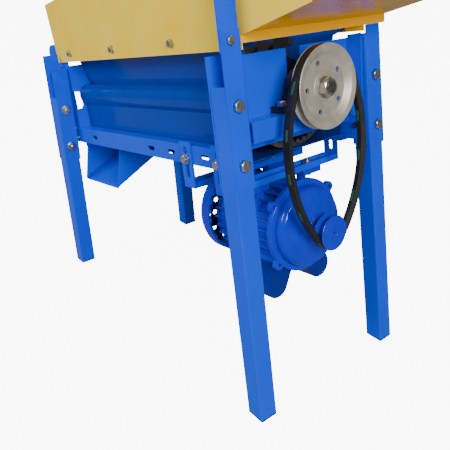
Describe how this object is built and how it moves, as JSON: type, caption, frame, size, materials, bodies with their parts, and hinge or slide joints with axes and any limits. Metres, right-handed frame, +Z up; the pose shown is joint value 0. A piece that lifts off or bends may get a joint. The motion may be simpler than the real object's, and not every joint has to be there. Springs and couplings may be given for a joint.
{
  "type": "belt-driven drum hammer mill",
  "caption": "Tilted drum mill on a splayed four-leg stand, with a feed hopper above, a discharge chute, an electric motor hung below and an open V-belt drive",
  "frame": {"origin": "middle of the overall box, on the floor", "axes": "+X points to the pulley end of the machine, +Z up; the grain chute opens on the -Y side"},
  "size_m": [0.9454, 0.478, 0.8736],
  "materials": {
    "front_near_post": "gloss blue powder coat",
    "rear_near_post": "gloss blue powder coat",
    "front_far_post": "gloss blue powder coat",
    "rear_far_post": "gloss blue powder coat",
    "front_near_leg": "gloss blue powder coat",
    "rear_near_leg": "gloss blue powder coat",
    "front_far_leg": "gloss blue powder coat",
    "rear_far_leg": "gloss blue powder coat",
    "leg_caps": "black moulded plastic",
    "leg_bolts": "bright zinc plate",
    "leg_nuts": "bright zinc plate",
    "frame_bolts": "bright zinc plate",
    "hopper_stay": "gloss blue powder coat",
    "front_rail": "gloss blue powder coat",
    "rear_rail": "gloss blue powder coat",
    "near_end_beam": "gloss blue powder coat",
    "far_end_beam": "gloss blue powder coat",
    "near_end_plate": "gloss blue powder coat",
    "far_end_plate": "gloss blue powder coat",
    "drum_shell": "gloss blue powder coat",
    "concave_bars": "bare turned steel",
    "concave_ribs": "bare turned steel",
    "grain_pan": "gloss blue powder coat",
    "grain_chute": "gloss blue powder coat",
    "cob_outlet": "gloss blue powder coat",
    "rotor_shaft": "bare turned steel",
    "rotor_tube": "bare turned steel",
    "beaters": "dark as-cast iron",
    "cob_thrower": "dark as-cast iron",
    "bearing_housings": "dark as-cast iron",
    "bearing_outer_rings": "bare turned steel",
    "bearing_balls": "bright zinc plate",
    "bearing_inner_rings": "bare turned steel",
    "bearing_bolts": "bright zinc plate",
    "driven_pulley": "fine-turned pale grey iron",
    "pulley_key": "bare turned steel",
    "pulley_washer": "bright zinc plate",
    "pulley_nut": "bright zinc plate",
    "drive_belt": "black rubber",
    "motor_pulley": "deep blue gloss paint",
    "motor_pulley_key": "bare turned steel",
    "motor_shaft": "bare turned steel",
    "motor_rotor": "bare turned steel",
    "motor_fan": "black moulded plastic",
    "motor_bearings": "bare turned steel",
    "motor_stator": "bare turned steel",
    "motor_frame": "deep blue gloss paint",
    "drive_end_bell": "deep blue gloss paint",
    "fan_end_bell": "deep blue gloss paint",
    "fan_cowl": "deep blue gloss paint",
    "motor_bolts": "bright zinc plate",
    "capacitor_covers": "deep blue gloss paint",
    "terminal_box": "deep blue gloss paint",
    "cable_gland": "black moulded plastic",
    "motor_cradles": "gloss blue powder coat",
    "cradle_bolts": "bright zinc plate",
    "front_hopper_wall": "gloss yellow powder coat",
    "hopper_hood": "gloss yellow powder coat",
    "feed_tray": "gloss yellow powder coat",
    "hopper_bolts": "bright zinc plate"
  },
  "bodies": {
    "frame": {"front_near_post": "front_near_post", "rear_near_post": "rear_near_post", "front_far_post": "front_far_post", "rear_far_post": "rear_far_post", "front_near_leg": "front_near_leg", "rear_near_leg": "rear_near_leg", "front_far_leg": "front_far_leg", "rear_far_leg": "rear_far_leg", "leg_caps": "leg_caps", "leg_bolts": "leg_bolts", "leg_nuts": "leg_nuts", "frame_bolts": "frame_bolts", "hopper_stay": "hopper_stay", "front_rail": "front_rail", "rear_rail": "rear_rail", "near_end_beam": "near_end_beam", "far_end_beam": "far_end_beam", "near_end_plate": "near_end_plate", "far_end_plate": "far_end_plate", "drum_shell": "drum_shell", "concave_bars": "concave_bars", "concave_ribs": "concave_ribs", "grain_pan": "grain_pan", "grain_chute": "grain_chute", "cob_outlet": "cob_outlet", "bearing_housings": "bearing_housings", "bearing_outer_rings": "bearing_outer_rings", "bearing_bolts": "bearing_bolts", "drive_belt": "drive_belt", "motor_bearings": "motor_bearings", "motor_stator": "motor_stator", "motor_frame": "motor_frame", "drive_end_bell": "drive_end_bell", "fan_end_bell": "fan_end_bell", "fan_cowl": "fan_cowl", "motor_bolts": "motor_bolts", "capacitor_covers": "capacitor_covers", "terminal_box": "terminal_box", "cable_gland": "cable_gland", "motor_cradles": "motor_cradles", "cradle_bolts": "cradle_bolts", "front_hopper_wall": "front_hopper_wall", "hopper_hood": "hopper_hood", "feed_tray": "feed_tray", "hopper_bolts": "hopper_bolts"},
    "rotor": {"rotor_shaft": "rotor_shaft", "rotor_tube": "rotor_tube", "beaters": "beaters", "cob_thrower": "cob_thrower", "bearing_inner_rings": "bearing_inner_rings", "bearing_balls": "bearing_balls", "driven_pulley": "driven_pulley", "pulley_key": "pulley_key", "pulley_washer": "pulley_washer", "pulley_nut": "pulley_nut"},
    "motor_armature": {"motor_shaft": "motor_shaft", "motor_rotor": "motor_rotor", "motor_fan": "motor_fan", "motor_pulley": "motor_pulley", "motor_pulley_key": "motor_pulley_key"}
  },
  "joints": [
    {"name": "rotor_spin", "type": "hinge", "parent": "frame", "child": "rotor", "pos_m": [0.03153, -0.03297, 0.54458], "axis": [0.9875, 0, 0.1575], "continuous": true},
    {"name": "motor_spin", "type": "hinge", "parent": "frame", "child": "motor_armature", "pos_m": [0.07389, -0.03757, 0.27893], "axis": [0.9875, 0, 0.1575], "continuous": true}
  ],
  "couplings": [
    {"joint": "motor_spin", "follows": "rotor_spin", "ratio": 2.3103}
  ]
}
